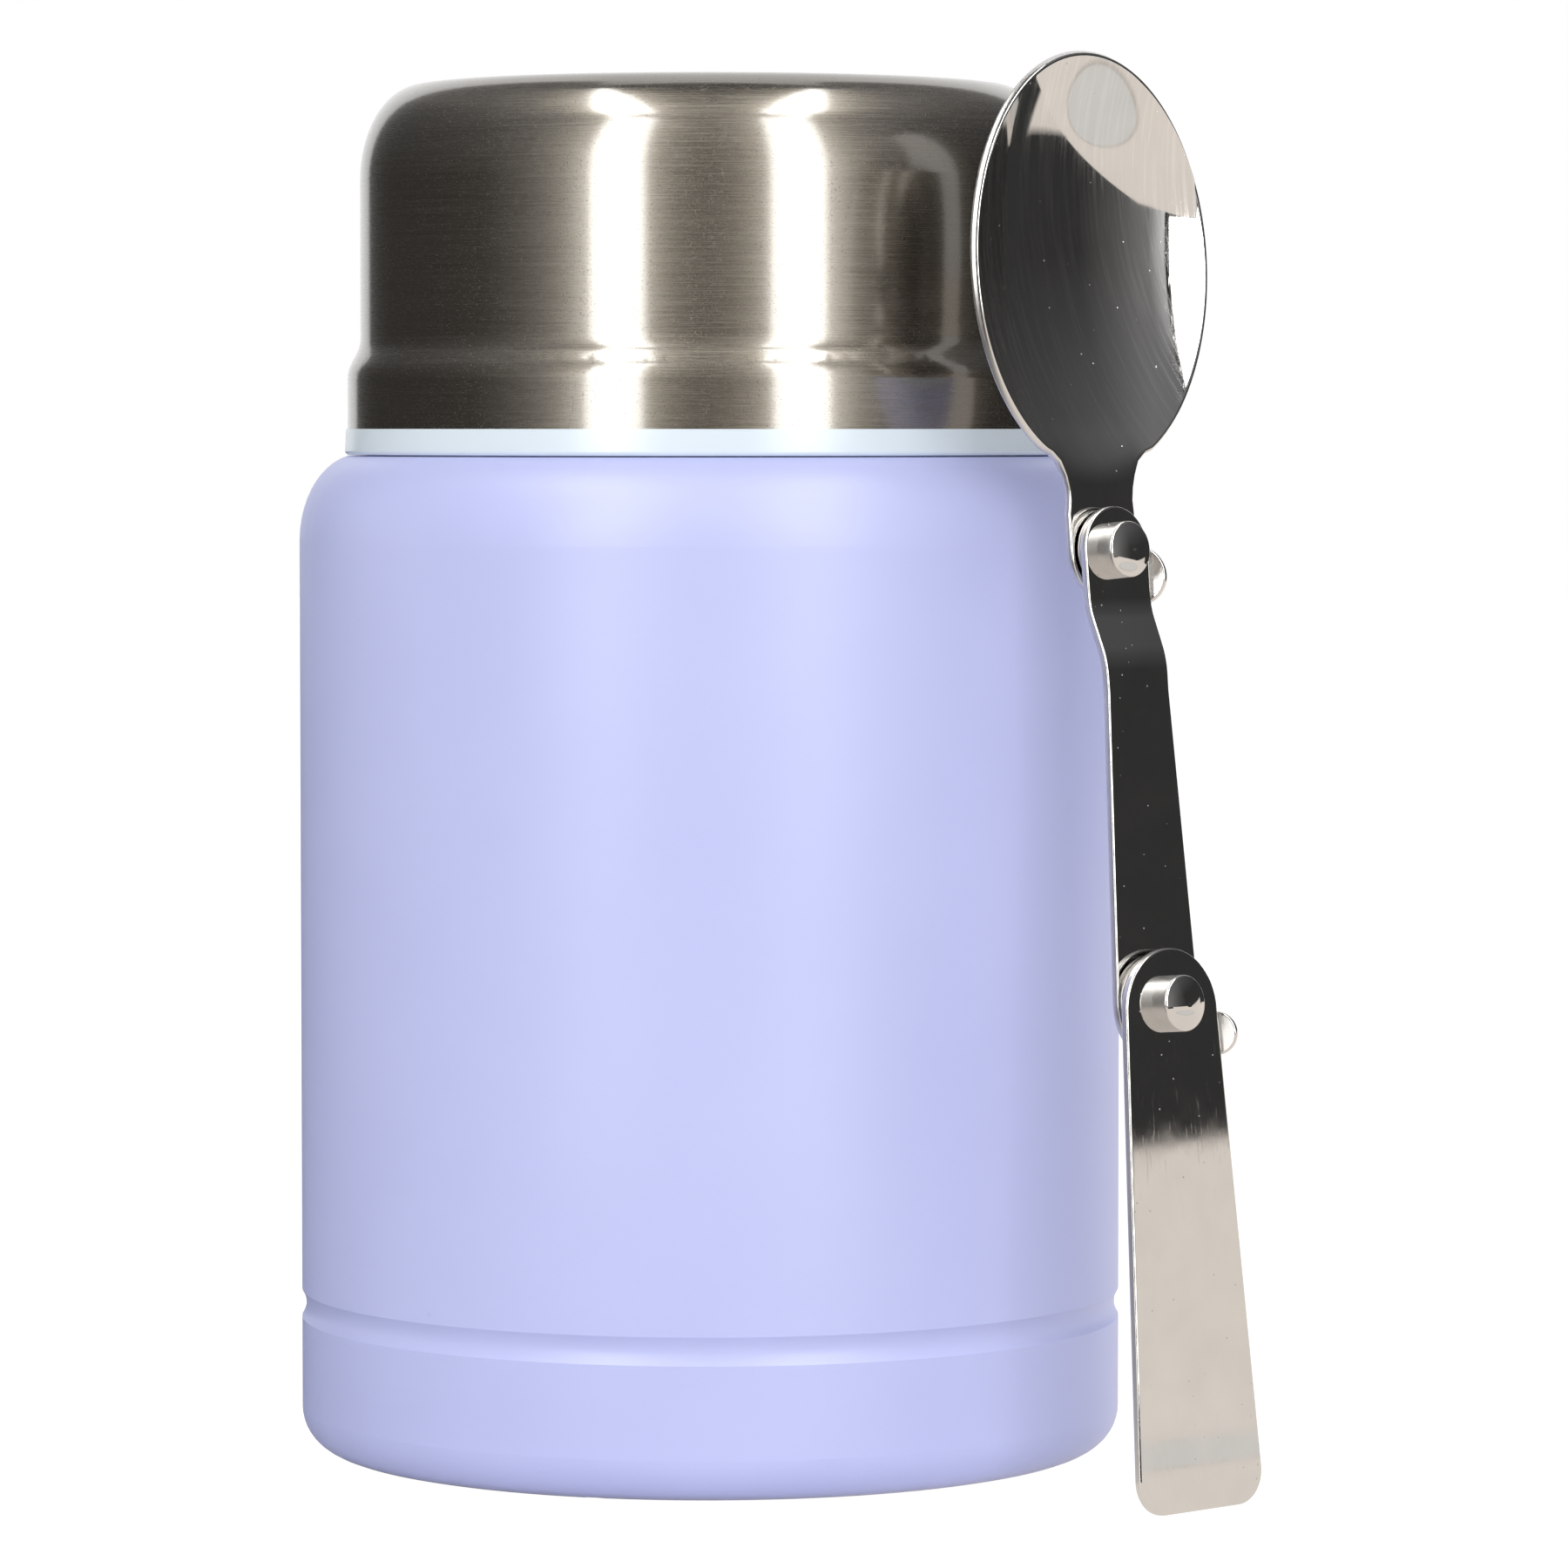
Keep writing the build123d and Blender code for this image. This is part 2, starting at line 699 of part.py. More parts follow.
with BuildPart() as spoon_link:
    with BuildSketch(side_plane):
        with BuildLine():
            FilletPolyline(
                (pivot_low - 12, link_low_back),
                (joggle_bottom, link_low_back),
                (joggle_top, link_top_back),
                (pivot_high + 12, link_top_back),
                radius=joggle_bend,
            )
            offset(amount=plate, side=Side.LEFT)
        make_face()
    extrude(amount=15, both=True)
    with BuildSketch(spoon_plane):
        add(link_upper_outline.sketch)
        add(link_lower_outline.sketch)
        with Locations((lower_tab_side + plate, lower_tab_centre)):
            Rectangle(plate + 2 * tab_lug_overlap, lower_tab_width, align=(Align.MAX, Align.CENTER))
    extrude(amount=12, mode=Mode.INTERSECT)
    add(
        stop_tab(
            lower_tab_side,
            lower_tab_centre,
            lower_tab_width,
            link_low_back,
            lower_tab_reach,
        )
    )
    with BuildSketch(pivot_plane(pivot_low, link_low_back)):
        Circle(pivot_radius + pivot_clearance)
    extrude(amount=plate, mode=Mode.SUBTRACT)
    with BuildSketch(pivot_plane(pivot_high, link_top_back)):
        Circle(pivot_radius)
    extrude(amount=plate, mode=Mode.SUBTRACT)

# Bowl: a spheroidal dish cut at its rim, with a flat neck that carries the upper pivot
dish_radius = (bowl_half_width**2 + bowl_depth**2) / (2 * bowl_depth)
dish_rise = dish_radius - bowl_depth
dish_half_length = bowl_half_length * dish_radius / bowl_half_width
rim_plane = Plane(
    origin=spoon_plane.from_local_coords((0, bowl_centre, neck_back + plate + bowl_rim_rise)),
    x_dir=across,
    z_dir=spoon_normal.rotate(Axis(spoon_origin, across), bowl_tilt),
)
dish_middle = rim_plane.from_local_coords((0, 0, dish_rise))
dish_plane = Plane(origin=dish_middle, x_dir=rim_plane.y_dir, z_dir=across)


def spheroid(half_length, radius):
    with BuildPart() as solid:
        with BuildSketch(dish_plane):
            Ellipse(half_length, radius)
            with Locations((0, radius)):
                Rectangle(4 * half_length, 2 * radius, mode=Mode.SUBTRACT)
        revolve(axis=Axis(dish_plane.origin, dish_plane.x_dir))
    return solid.part


dish_outside = spheroid(dish_half_length, dish_radius)
dish_inside = spheroid(dish_half_length - plate, dish_radius - plate)
with BuildPart() as spoon_bowl:
    add(dish_outside)
    split(bisect_by=rim_plane, keep=Keep.BOTTOM)
    with BuildSketch(spoon_plane.offset(neck_back)):
        with Locations((0, pivot_high)):
            Circle(neck_radius_at_pivot)
        with BuildLine():
            left = Line((-neck_radius_at_pivot, pivot_high), (-neck_radius_at_pivot, neck_flare_start))
            left_flare = Spline(
                (left @ 1, (-neck_flare_half_width, neck_flare_end)),
                tangents=((0, 1), (-1, 0.55)),
            )
            inside = Line(left_flare @ 1, (neck_flare_half_width, neck_flare_end))
            right_flare = Spline(
                (inside @ 1, (neck_radius_at_pivot, neck_flare_start)),
                tangents=((-1, -0.55), (0, -1)),
            )
            right = Line(right_flare @ 1, (neck_radius_at_pivot, pivot_high))
            Line(right @ 1, left @ 0)
        make_face()
        with Locations((upper_tab_side + plate, upper_tab_centre)):
            Rectangle(plate + tab_lug_overlap, upper_tab_width, align=(Align.MAX, Align.CENTER))
    extrude(amount=plate)
    add(dish_inside, mode=Mode.SUBTRACT)
    add(
        stop_tab(
            upper_tab_side,
            upper_tab_centre,
            upper_tab_width,
            neck_back,
            upper_tab_reach,
        )
    )
    with BuildSketch(pivot_plane(pivot_high, neck_back)):
        Circle(pivot_radius + pivot_clearance)
    extrude(amount=plate, mode=Mode.SUBTRACT)


def rivet(height, front, back):
    """A headed rivet: straight head with a low dome in front, shank, and a flat peened tail behind."""
    head_plane = pivot_plane(height, front)
    dome_radius = (rivet_head_radius**2 + rivet_dome**2) / (2 * rivet_dome)
    tail_front = back - plate_gap
    with BuildPart() as pin:
        with BuildSketch(Plane(head_plane.origin, x_dir=across, z_dir=spoon_plane.y_dir * -1)) as half:
            with BuildLine():
                middle = Line((0, 0), (0, rivet_head_height + rivet_dome))
                dome = RadiusArc(middle @ 1, (rivet_head_radius, rivet_head_height), dome_radius)
                wall = Line(dome @ 1, (rivet_head_radius, 0))
                Line(wall @ 1, middle @ 0)
            make_face()
            rim = half.vertices().sort_by_distance((rivet_head_radius, rivet_head_height, 0))[0]
            fillet(rim, radius=rivet_edge_round)
        revolve(axis=Axis(head_plane.origin, spoon_normal))
        with BuildSketch(pivot_plane(height, tail_front)):
            Circle(pivot_radius)
        extrude(amount=front - tail_front)
        with BuildSketch(pivot_plane(height, tail_front - rivet_tail_height)):
            Circle(rivet_tail_radius)
        extrude(amount=rivet_tail_height)
    return pin


pivot_rivet_lower = rivet(pivot_low, handle_front, link_low_back)
pivot_rivet_upper = rivet(pivot_high, link_top_back + plate, neck_back)


def spacer_washer(height, back, radius):
    with BuildPart() as washer:
        with BuildSketch(pivot_plane(height, back)):
            Circle(radius)
            Circle(pivot_radius, mode=Mode.SUBTRACT)
        extrude(amount=washer_thickness)
    return washer


spacer_washer_lower = spacer_washer(pivot_low, handle_back - washer_thickness, lower_washer_radius)
spacer_washer_upper = spacer_washer(pivot_high, link_top_back - washer_thickness, upper_washer_radius)

pieces = {
    "outer_shell": outer_shell,
    "inner_vessel": inner_vessel,
    "outer_base": outer_base,
    "base_cap": base_cap,
    "vacuum_seal": vacuum_seal,
    "getter_clip": getter_clip,
    "getter_pellet": getter_pellet,
    "lid_shell": lid_shell,
    "lid_liner": lid_liner,
    "lid_foam": lid_foam,
    "lid_seal": lid_seal,
    "stopper_body": stopper_body,
    "stopper_cover": stopper_cover,
    "stopper_foam": stopper_foam,
    "stopper_gasket": stopper_gasket,
    "vent_button": vent_button,
    "vent_seal": vent_seal,
    "vent_spring": vent_spring,
    "spoon_handle": spoon_handle,
    "spoon_link": spoon_link,
    "spoon_bowl": spoon_bowl,
    "pivot_rivet_lower": pivot_rivet_lower,
    "pivot_rivet_upper": pivot_rivet_upper,
    "spacer_washer_lower": spacer_washer_lower,
    "spacer_washer_upper": spacer_washer_upper,
}
for name, piece in pieces.items():
    piece.part.label = name
    export_step(piece.part, f"parts/{name}.step")
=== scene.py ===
"""Insulated food jar with its folding spoon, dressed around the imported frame. Metres, +Z up."""
import json
import math

import bpy
from mathutils import Matrix, Vector

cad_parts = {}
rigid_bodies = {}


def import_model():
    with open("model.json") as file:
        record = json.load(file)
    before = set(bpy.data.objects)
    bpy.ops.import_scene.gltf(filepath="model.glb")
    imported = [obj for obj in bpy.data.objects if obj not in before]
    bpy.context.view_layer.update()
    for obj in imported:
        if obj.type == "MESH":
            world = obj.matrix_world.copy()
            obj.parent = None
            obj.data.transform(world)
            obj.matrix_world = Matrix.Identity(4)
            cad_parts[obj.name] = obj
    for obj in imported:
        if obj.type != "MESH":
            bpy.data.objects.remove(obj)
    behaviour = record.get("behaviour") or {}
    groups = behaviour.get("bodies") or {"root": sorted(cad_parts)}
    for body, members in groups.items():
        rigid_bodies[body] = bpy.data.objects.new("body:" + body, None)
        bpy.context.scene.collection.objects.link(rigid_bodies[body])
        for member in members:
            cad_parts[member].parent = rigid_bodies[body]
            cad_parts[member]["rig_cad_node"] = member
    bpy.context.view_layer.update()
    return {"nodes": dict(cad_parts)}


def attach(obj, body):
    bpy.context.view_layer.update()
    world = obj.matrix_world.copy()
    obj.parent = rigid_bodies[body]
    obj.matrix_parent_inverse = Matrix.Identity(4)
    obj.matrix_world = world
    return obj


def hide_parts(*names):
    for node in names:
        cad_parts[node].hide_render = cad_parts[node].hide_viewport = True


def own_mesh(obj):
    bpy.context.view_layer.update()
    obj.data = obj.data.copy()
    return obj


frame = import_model()
nodes = frame["nodes"]

MM = 0.001

# The spoon stands turned towards the right and leans a little; its plates face this way
SPOON_TURN = math.radians(42.5)
SPOON_LEAN = math.radians(5.3)
SPOON_NORMAL = (
    math.sin(SPOON_TURN) * math.cos(SPOON_LEAN),
    -math.cos(SPOON_TURN) * math.cos(SPOON_LEAN),
    math.sin(SPOON_LEAN),
)


# ---------------------------------------------------------------- shader maths

# A Mix node's sockets for colours, which share their names with its other sockets
MIX_FACTOR, MIX_FIRST, MIX_SECOND, MIX_RESULT = 0, 6, 7, 2
# Noise keeps mostly between these two
NOISE_LOW, NOISE_HIGH = 0.3, 0.7


class Value:
    """A node's output that does arithmetic: each operator adds its Math node."""

    def __init__(self, finish, socket):
        self.finish = finish
        self.socket = socket

    def math(self, operation, first, second):
        return self.finish.node("Math", {"operation": operation}, {0: first, 1: second})

    def __add__(self, other):
        return self.math("ADD", self, other)

    def __sub__(self, other):
        return self.math("SUBTRACT", self, other)

    def __rsub__(self, other):
        return self.math("SUBTRACT", other, self)

    def __mul__(self, other):
        return self.math("MULTIPLY", self, other)

    __radd__ = __add__
    __rmul__ = __mul__

    def size(self):
        return self.math("ABSOLUTE", self, 0.0)


class Finish:
    """One material, or the world, built node by node."""

    def __init__(self, name, world=False):
        self.owner = (bpy.data.worlds if world else bpy.data.materials).new(name)
        self.owner.use_nodes = True
        self.tree = self.owner.node_tree
        self.tree.nodes.clear()

    def node(self, kind, settings=None, sockets=None, out=0):
        """Add a node with its settings and its inputs, and give the output called out."""
        made = self.tree.nodes.new("ShaderNode" + kind)
        for key, value in (settings or {}).items():
            setattr(made, key, value)
        for key, value in (sockets or {}).items():
            if isinstance(value, Value):
                self.tree.links.new(value.socket, made.inputs[key])
            else:
                made.inputs[key].default_value = value
        return Value(self, made.outputs[out]) if made.outputs else None

    def here(self):
        """Object coordinates in metres."""
        return self.node("TexCoord", out="Object")

    def place(self, scale=(1, 1, 1)):
        """Object coordinates in millimetres, stretched by scale."""
        size = tuple(s / MM for s in scale)
        return self.node("Mapping", {}, {"Vector": self.here(), "Scale": size})

    def part(self, where, axis):
        """One coordinate of a vector: axis is X, Y or Z."""
        return self.node("SeparateXYZ", {}, {"Vector": where}, out=axis)

    def measure(self, operation, *vectors):
        """The number that a Vector Math node makes of its vectors."""
        sockets = dict(enumerate(vectors))
        return self.node("VectorMath", {"operation": operation}, sockets, out="Value")

    def noise(self, where, scale, detail=2.0, roughness=0.5):
        sockets = {"Vector": where, "Scale": scale, "Detail": detail, "Roughness": roughness}
        return self.node("TexNoise", {}, sockets)

    def cells(self, where, scale):
        """The distance to the nearest of many scattered points."""
        return self.node("TexVoronoi", {"feature": "F1"}, {"Vector": where, "Scale": scale})

    def ramp(self, factor, low, high, first=0.0, last=1.0):
        """Goes from first to last as factor goes from low to high, and is flat outside."""
        sockets = {0: factor, 1: low, 2: high, 3: first, 4: last}
        return self.node("MapRange", {"clamp": True}, sockets)

    def spread(self, noise, first=0.0, last=1.0):
        """Goes from first to last over the range that noise keeps to."""
        return self.ramp(noise, NOISE_LOW, NOISE_HIGH, first, last)

    def mix(self, factor, first, second):
        sockets = {MIX_FACTOR: factor, MIX_FIRST: first, MIX_SECOND: second}
        return self.node("Mix", {"data_type": "RGBA"}, sockets, out=MIX_RESULT)

    def bump(self, height, strength, depth, normal=None):
        """Relief that is depth millimetres deep at full strength, on top of normal."""
        sockets = {"Height": height, "Strength": strength, "Distance": depth * MM}
        if normal is not None:
            sockets["Normal"] = normal
        return self.node("Bump", {}, sockets)

    def surface(self, **sockets):
        named = {key.replace("_", " "): value for key, value in sockets.items()}
        self.output(self.node("BsdfPrincipled", {}, named))
        return self.owner

    def output(self, shader):
        kind = "OutputWorld" if isinstance(self.owner, bpy.types.World) else "OutputMaterial"
        self.node(kind, {}, {"Surface": shader})


def rgb(red, green, blue):
    """A colour given as it shows on a screen (sRGB, 0 to 255), for the shader's linear sockets."""

    def linear(level):
        level /= 255
        return level / 12.92 if level <= 0.04045 else ((level + 0.055) / 1.055) ** 2.4

    return (linear(red), linear(green), linear(blue), 1.0)


# ---------------------------------------------------------------- finishes

# Noise and cells are scaled per millimetre; tone, roughness and strength go from 0 to 1

# Wiping marks run in arcs round this point beyond the bowl's right side, and fade out downwards
WIPE_CENTRE = (0.0895, -0.0355, 0.146)
WIPE_FADE_LOW, WIPE_FADE_HIGH = 113.0, 122.0
# How squarely a surface faces along the spoon's normal: below is a punched edge, above is a face
EDGE_FACING, FACE_FACING = 0.5, 0.7
# Turned metal: its grain is long across the jar's axis and short along it
RING_GRAIN = (0.05, 0.05, 1.0)


def lavender_coat():
    """Satin powder coat: a faint mottle, fine orange peel and a few specks."""
    made = Finish("lavender_coat")
    where = made.place()
    cloud = made.noise(where, scale=0.035, detail=3.0)
    peel = made.noise(where, scale=2.6)
    grain = made.noise(where, scale=9.0, detail=1.0)
    speck = made.ramp(made.cells(where, scale=0.045), 0.012, 0.02, 1.0, 0.0)
    colour = made.mix(made.spread(cloud), rgb(188, 194, 240), rgb(192, 198, 243))
    return made.surface(
        Base_Color=made.mix(speck * 0.1, colour, rgb(120, 120, 160)),
        Roughness=made.ramp(grain, 0.2, 0.8, 0.36, 0.43),
        Normal=made.bump(peel + grain * 0.4, strength=0.09, depth=0.05),
    )


def brushed_lid():
    """Steel brushed round and round, under a clear lacquer with fine glitter."""
    made = Finish("brushed_lid")
    # The grain runs in rings: it changes with the radius on the top and with height on the wall
    radius = made.measure("LENGTH", made.place((0.15, 0.15, 0)))
    drift = made.part(made.place((0.006, 1, 1)), "X")
    height = made.part(made.place(), "Z")
    rings = made.node("CombineXYZ", {}, {"X": radius, "Y": drift, "Z": height})
    fine = made.noise(rings, scale=14.0, roughness=0.6)
    broad = made.noise(rings, scale=1.2)
    spark = made.ramp(made.noise(made.place(), scale=7.0, detail=0.0), 0.7, 0.8)
    tone = made.ramp(fine * 0.85 + broad * 0.15, 0.35, 0.65)
    brushed = made.bump(fine, strength=0.003, depth=0.03)
    return made.surface(
        Base_Color=made.mix(tone, rgb(116, 110, 100), rgb(130, 124, 114)),
        Metallic=1.0,
        Roughness=made.spread(fine, 0.245, 0.285) + spark * 0.25,
        Anisotropic=0.75,
        Coat_Weight=1.0,
        Coat_Roughness=0.13,
        Coat_IOR=2.1,
        Normal=made.bump(spark, strength=0.35, depth=0.04, normal=brushed),
    )


def collar_plastic():
    """Pale plastic with no relief, and hardly a change in tone or gloss."""
    made = Finish("collar_plastic")
    where = made.place()
    cloud = made.noise(where, scale=0.05)
    return made.surface(
        Base_Color=made.mix(made.spread(cloud), rgb(219, 231, 240), rgb(224, 235, 243)),
        Roughness=made.spread(made.noise(where, scale=4.0), 0.2, 0.27),
    )


def polished_spoon():
    """Mirror-polished sheet with hair scratches and dust; its punched edges are satin."""
    made = Finish("polished_spoon")
    where = made.place()
    facing = made.measure("DOT_PRODUCT", made.node("TexCoord", out="Normal"), SPOON_NORMAL)
    edge = made.ramp(facing.size(), EDGE_FACING, FACE_FACING, 1.0, 0.0)
    lines = made.noise(made.place((1.0, 1.0, 0.03)), scale=3.2, roughness=0.6)
    hair = made.ramp(lines, 0.6, 0.7)
    haze = made.noise(where, scale=0.16, detail=3.0)
    grains = made.ramp(made.cells(where, scale=0.6), 0.03, 0.06, 1.0, 0.0)
    dust = grains * made.ramp(made.noise(where, scale=0.3), 0.44, 0.5)
    gloss = made.ramp(haze, 0.45, 0.8, 0.03, 0.08) + hair * 0.05
    colour = made.mix(made.spread(haze), rgb(210, 209, 207), rgb(216, 214, 212))
    scratched = made.bump(hair, strength=0.02, depth=0.02)
    relief = made.bump(dust, strength=0.5, depth=0.05, normal=scratched)
    reach = made.measure("DISTANCE", made.here(), WIPE_CENTRE)
    height = made.part(where, "Z")
    arcs = made.node("CombineXYZ", {}, {"X": reach * (1 / MM), "Y": height * 0.03})
    wiped = made.ramp(made.noise(arcs, scale=1.9, detail=3.0, roughness=0.7), 0.48, 0.66)
    return made.surface(
        Base_Color=made.mix(dust, colour, rgb(180, 180, 180)),
        Metallic=1.0 - dust * 0.75,
        Roughness=gloss + edge * 0.3,
        Normal=relief,
        Coat_Weight=wiped * made.ramp(height, WIPE_FADE_LOW, WIPE_FADE_HIGH),
        Coat_Roughness=0.14,
        Coat_IOR=2.6,
        Coat_Normal=relief,
    )


def plain_metal(name, dark, light, rough, stretch=(1, 1, 1), relief=0.05):
    """A metal whose tone, roughness and relief follow one grain."""
    made = Finish(name)
    grain = made.noise(made.place(stretch), scale=4.0, detail=3.0, roughness=0.6)
    return made.surface(
        Base_Color=made.mix(made.spread(grain), rgb(*dark), rgb(*light)),
        Metallic=1.0,
        Roughness=made.spread(grain, *rough),
        Normal=made.bump(grain, strength=relief, depth=0.05),
    )


def moulded(name, dark, light, rough):
    """A moulded plastic or rubber with a fine skin."""
    made = Finish(name)
    where = made.place()
    skin = made.noise(where, scale=3.0)
    cloud = made.noise(where, scale=0.06)
    return made.surface(
        Base_Color=made.mix(made.spread(cloud), rgb(*dark), rgb(*light)),
        Roughness=made.spread(skin, *rough),
        Normal=made.bump(skin, strength=0.1, depth=0.04),
    )


def foam_cells():
    """Insulating foam: pale round cells with darker walls."""
    made = Finish("foam_cells")
    cell = made.cells(made.place(), scale=0.6)
    tone = made.ramp(cell, 0.1, 0.7)
    return made.surface(
        Base_Color=made.mix(tone, rgb(244, 243, 238), rgb(222, 220, 212)),
        Roughness=0.9,
        Normal=made.bump(1.0 - cell, strength=0.5, depth=0.3),
    )


lavender = lavender_coat()
lid_steel = brushed_lid()
collar = collar_plastic()
mirror_steel = polished_spoon()
vessel_steel = plain_metal(
    "vessel_steel",
    dark=(186, 184, 180),
    light=(202, 200, 196),
    rough=(0.22, 0.34),
    stretch=RING_GRAIN,
)
base_steel = plain_metal(
    "base_steel", dark=(170, 169, 166), light=(188, 187, 184), rough=(0.3, 0.42)
)
spring_steel = plain_metal(
    "spring_steel", dark=(176, 176, 176), light=(200, 200, 200), rough=(0.16, 0.24)
)
solder_metal = plain_metal(
    "solder_metal", dark=(150, 148, 144), light=(180, 178, 172), rough=(0.35, 0.55), relief=0.4
)
getter_metal = plain_metal(
    "getter_metal", dark=(92, 90, 88), light=(118, 116, 112), rough=(0.6, 0.8), relief=0.6
)
stopper_plastic = moulded(
    "stopper_plastic", dark=(206, 214, 223), light=(212, 219, 227), rough=(0.34, 0.44)
)
button_plastic = moulded(
    "button_plastic", dark=(150, 158, 204), light=(156, 163, 210), rough=(0.3, 0.4)
)
silicone = moulded(
    "silicone", dark=(222, 226, 228), light=(230, 233, 234), rough=(0.38, 0.5)
)
foam = foam_cells()

# ---------------------------------------------------------------- spoon pieces

# Sizes in millimetres on the spoon: across it, up along it, and out of its face
PLATE = 1.0
HANDLE_FRONT = 6.7
SPOON_FOOT = (54.6, -50.25)
# The ellipsoid that the dish is a cap of: the middle of the cap's mouth, how far the centre
# stands out from there, and the tilt
DISH_CENTRE, DISH_RISE, DISH_TILT = (137.2, 1.45), 26.29, 1.8
DISH_RADIUS, DISH_HALF_LENGTH, DISH_WIDEN = 31.09, 41.03, 1.02
DISH_SEGMENTS, DISH_RINGS = 128, 120
# The plane that cuts the cap off at its lip
LIP_MIDDLE, LIP_TILT = (137.2, 2.03), 2.39
# The neck is drawn out of the lip's points within this half width and below this height, and
# ends in a half round about its pivot
NECK_TAKE, NECK_TAKE_TOP = 7.0, 125
NECK_FRONT, NECK_BACK, NECK_HALF_WIDTH = 0.7, -0.3, 5.1
PIVOT_HIGH = 105.78
NECK_END_STEPS, NECK_END_DEGREES = 8, 11
# Nothing can be scaled to zero, so a straight row of the neck keeps this much of its bow
LEAST_BOW = 0.0001
# Where dish and neck are smoothed into each other, and how much
BLEND_LOW, BLEND_HIGH, BLEND_HALF_WIDTH = 110.2, 119.5, 7.5
BLEND_FACTOR, BLEND_ROUNDS = 0.5, 14
# The tab on the neck's edge: its bend, its place on the spoon and its size
TAB_BEND = math.radians(57)
TAB_SIDE, TAB_MIDDLE, TAB_HALF_WIDTH, TAB_REACH = 4.05, 103.0, 3.3, 1.24
TAB_SEGMENTS = 64
# Points nearer than this are one, on the dish, on the tab and in the CAD's meshes
DISH_WELD, TAB_WELD, CAD_WELD = 0.01, 0.001, 0.002
# Rounded edges: their width, and the least angle in degrees of an edge that gets one
PLATE_ROUND, PLATE_SHARP = 0.24, 25
DISH_ROUND, DISH_SHARP = 0.26, 50
TAB_ROUND, TAB_SHARP = 0.26, 40
ROUND_SEGMENTS = 3
# Faces that meet at less than this many degrees are shaded as one
SMOOTH_SPOON, SMOOTH_COIL, SMOOTH_LINER = 32, 40, 30
# Neighbouring faces that are flat within this angle are joined up
PLATE_FLATNESS, TAB_FLATNESS = math.radians(0.4), 0.01

spoon_up = Vector(
    (
        -math.sin(SPOON_TURN) * math.sin(SPOON_LEAN),
        math.cos(SPOON_TURN) * math.sin(SPOON_LEAN),
        math.cos(SPOON_LEAN),
    )
)
spoon_across = Vector((math.cos(SPOON_TURN), math.sin(SPOON_TURN), 0))
spoon_out = Vector(SPOON_NORMAL)
spoon_start = Vector((*SPOON_FOOT, 0)) - spoon_out * HANDLE_FRONT
ON_SPOON = Matrix.Translation(spoon_start * MM) @ (
    Matrix((spoon_across, spoon_up, spoon_out)).transposed().to_4x4() @ Matrix.Scale(MM, 4)
)


def pick(piece):
    """Make a piece the active one and the only one selected."""
    bpy.ops.object.select_all(action="DESELECT")
    piece.select_set(True)
    bpy.context.view_layer.objects.active = piece


def edit(piece):
    pick(piece)
    bpy.ops.object.mode_set(mode="EDIT")


def choose(piece, wanted, kind="vertices"):
    """Select in edit mode the vertices or edges whose points wanted says, and nothing else."""
    bpy.ops.mesh.select_all(action="DESELECT")
    bpy.ops.object.mode_set(mode="OBJECT")
    points = piece.data.vertices
    for item in getattr(piece.data, kind):
        ends = item.vertices if kind == "edges" else (item.index,)
        item.select = all(wanted(points[i].co) for i in ends)
    bpy.ops.object.mode_set(mode="EDIT")


def finish_modifier(piece, kind, **settings):
    """Add a modifier with its settings and apply it."""
    made = piece.modifiers.new(kind, kind)
    for key, value in settings.items():
        setattr(made, key, value)
    pick(piece)
    bpy.ops.object.modifier_apply(modifier=made.name)


def border(piece):
    """The vertices on the open edges of a piece."""
    uses = {}
    for face in piece.data.polygons:
        for key in face.edge_keys:
            uses[key] = uses.get(key, 0) + 1
    return {point for key, count in uses.items() if count == 1 for point in key}


def shade_smooth(degrees):
    """Shade the active piece smooth, except where its faces meet at more than this."""
    bpy.ops.object.shade_smooth_by_angle(angle=math.radians(degrees))


def round_edges(piece, width, sharp):
    """Round each edge whose faces meet at more than sharp degrees."""
    finish_modifier(
        piece,
        "BEVEL",
        width=width,
        segments=ROUND_SEGMENTS,
        limit_method="ANGLE",
        angle_limit=math.radians(sharp),
        use_clamp_overlap=False,
        miter_outer="MITER_ARC",
    )
    shade_smooth(SMOOTH_SPOON)


def move_mesh(piece, matrix):
    """Carry a piece by a matrix and leave the move in its mesh."""
    piece.matrix_world = matrix
    pick(piece)
    bpy.ops.object.transform_apply()


def dress(piece, body, *replaced, slot, material):
    """Give a piece its material and body, and hide the CAD nodes that it takes the place of. The
    slot argument is not used.
    """
    piece.data.materials.clear()
    piece.data.materials.append(material)
    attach(piece, body)
    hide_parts(*replaced)


def merged_copy(name, ending):
    """A copy of a CAD node as one joined-up mesh, left in edit mode."""
    pick(nodes[name])
    bpy.ops.object.duplicate()
    piece = bpy.context.object
    piece.name = name + ending
    piece.parent = None
    del piece["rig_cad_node"]
    bpy.ops.mesh.customdata_custom_splitnormals_clear()
    bpy.ops.object.mode_set(mode="EDIT")
    bpy.ops.mesh.select_all(action="SELECT")
    bpy.ops.mesh.remove_doubles(threshold=CAD_WELD * MM)
    return piece


def rounded_plate(name, body):
    """A copy of a CAD plate with its flats joined up and its punched edges rounded."""
    piece = merged_copy(name, "_rounded")
    bpy.ops.mesh.dissolve_limited(angle_limit=PLATE_FLATNESS)
    bpy.ops.object.mode_set(mode="OBJECT")
    round_edges(piece, PLATE_ROUND * MM, PLATE_SHARP)
    finish_modifier(piece, "WEIGHTED_NORMAL", keep_sharp=True)
    dress(piece, body, name, slot="polished_steel", material=mirror_steel)


